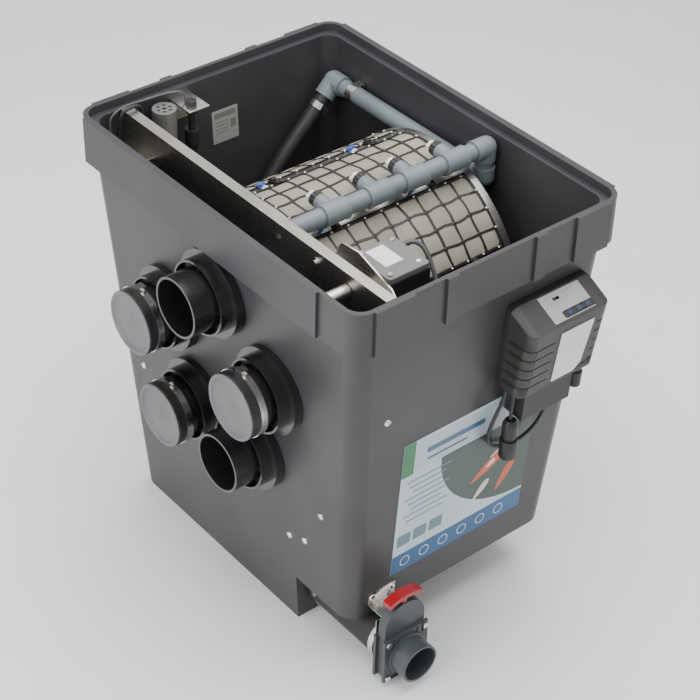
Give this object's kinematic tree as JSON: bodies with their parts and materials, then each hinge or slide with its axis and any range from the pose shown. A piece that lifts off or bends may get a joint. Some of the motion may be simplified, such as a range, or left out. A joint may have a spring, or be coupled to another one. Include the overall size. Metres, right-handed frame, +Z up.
{
  "type": "pond drum filter",
  "caption": "Open rectangular pond filter tank with a rotating screen drum, rinse bar, gear drive, pipe connections, drain valve and control unit.",
  "frame": {"origin": "middle of the tank plan on the floor", "axes": "+Z up, -X towards the pipe connections, -Y towards the control unit and the drain valve"},
  "size_m": [0.6388, 0.8265, 0.82],
  "materials": {
    "tank_plastic": "satin moulded",
    "stainless": "brushed",
    "bright_steel": "bright",
    "drum_steel": "brushed",
    "white_plastic": "satin",
    "screen_mesh": "fine woven mesh",
    "black_plastic": "satin",
    "blue_plastic": "gloss",
    "dark_plastic": "satin",
    "rubber": "matt",
    "motor_grey": "satin",
    "grey_pvc": "satin",
    "nozzle_plastic": "knurled",
    "hose_rubber": "ribbed",
    "sensor_grey": "satin",
    "plate_metal": "satin",
    "pipe_plastic": "gloss",
    "cap_grey": "satin",
    "housing_plastic": "fine grain",
    "panel_silver": "satin",
    "button_blue": "satin",
    "trim_silver": "satin",
    "cable_rubber": "satin",
    "cable_grey": "satin",
    "valve_plastic": "ribbed satin",
    "gate_steel": "brushed",
    "red_plastic": "gloss",
    "label_film": null
  },
  "bodies": {
    "root": {"tank": "tank_plastic", "partition": "stainless", "partition_bolts": "bright_steel", "spacer_tube": "stainless", "inlet_tray": "stainless", "rear_bearing": "dark_plastic", "drum_seal": "rubber", "roller_mounts": "stainless", "gear_motor": "black_plastic", "motor_cover": "motor_grey", "motor_bracket": "stainless", "spray_bar": "grey_pvc", "spray_nozzles": "nozzle_plastic", "supply_pipe": "grey_pvc", "pipe_straps": "bright_steel", "flush_hose": "hose_rubber", "band_clamps": "bright_steel", "flush_pump": "dark_plastic", "level_sensor": "sensor_grey", "sensor_bracket": "stainless", "float_stem": "black_plastic", "waste_trough": "stainless", "info_plate": "plate_metal", "port_flanges": "pipe_plastic", "port_pipes": "pipe_plastic", "port_caps": "cap_grey", "control_housing": "housing_plastic", "control_cover": "housing_plastic", "display_panel": "panel_silver", "trim_plate": "trim_silver", "junction_box": "dark_plastic", "connector": "black_plastic", "connector_lead": "cable_rubber", "control_cable": "cable_rubber", "motor_cable": "cable_grey", "sensor_cable": "cable_grey", "pump_cable": "cable_rubber", "drain_sleeve": "rubber", "valve_body": "valve_plastic", "valve_bonnet": "valve_plastic", "valve_bolts": "bright_steel", "valve_bracket": "stainless", "front_label": "label_film", "wall_screws": "bright_steel"},
    "drum": {"drum_frame": "drum_steel", "drum_gear": "white_plastic", "screen_panels": "screen_mesh", "screen_grids": "black_plastic", "panel_clips": "black_plastic", "panel_latches": "blue_plastic"},
    "pinion": {"drive_pinion": "white_plastic"},
    "roller_front": {"support_roller_front": "white_plastic"},
    "roller_back": {"support_roller_back": "white_plastic"},
    "float": {"float": "black_plastic"},
    "gate": {"valve_gate": "gate_steel", "valve_handle": "red_plastic"},
    "left_button": {"button_left": "button_blue"},
    "middle_button": {"button_middle": "button_blue"},
    "right_button": {"button_right": "button_blue"},
    "switch_slider": {"mode_switch": "black_plastic"}
  },
  "joints": [
    {"name": "drum_spin", "type": "hinge", "parent": "root", "child": "drum", "pos_m": [0, 0, 0.528], "axis": [1, 0, 0], "continuous": true},
    {"name": "pinion_spin", "type": "hinge", "parent": "root", "child": "pinion", "pos_m": [-0.164, -0.2007, 0.66853], "axis": [1, 0, 0], "continuous": true},
    {"name": "roller_front_spin", "type": "hinge", "parent": "root", "child": "roller_front", "pos_m": [-0.152, -0.15718, 0.32682], "axis": [1, 0, 0], "continuous": true},
    {"name": "roller_back_spin", "type": "hinge", "parent": "root", "child": "roller_back", "pos_m": [-0.152, 0.15718, 0.32682], "axis": [1, 0, 0], "continuous": true},
    {"name": "gate_lift", "type": "slide", "parent": "root", "child": "gate", "axis": [0, 0, 1], "range_m": [0, 0.07]},
    {"name": "float_rise", "type": "slide", "parent": "root", "child": "float", "axis": [0, 0, 1], "range_m": [0, 0.032]},
    {"name": "left_button_press", "type": "slide", "parent": "root", "child": "left_button", "axis": [0, 0.4418, -0.8971], "range_m": [0, 0.001], "stiffness_N_per_m": 600},
    {"name": "middle_button_press", "type": "slide", "parent": "root", "child": "middle_button", "axis": [0, 0.4418, -0.8971], "range_m": [0, 0.001], "stiffness_N_per_m": 600},
    {"name": "right_button_press", "type": "slide", "parent": "root", "child": "right_button", "axis": [0, 0.4418, -0.8971], "range_m": [0, 0.001], "stiffness_N_per_m": 600},
    {"name": "mode_switch_slide", "type": "slide", "parent": "root", "child": "switch_slider", "axis": [1, 0, 0], "range_m": [0, 0.006]}
  ],
  "couplings": [
    {"joint": "pinion_spin", "follows": "drum_spin", "ratio": -10.286},
    {"joint": "roller_front_spin", "follows": "drum_spin", "ratio": -13.167},
    {"joint": "roller_back_spin", "follows": "drum_spin", "ratio": -13.167}
  ]
}
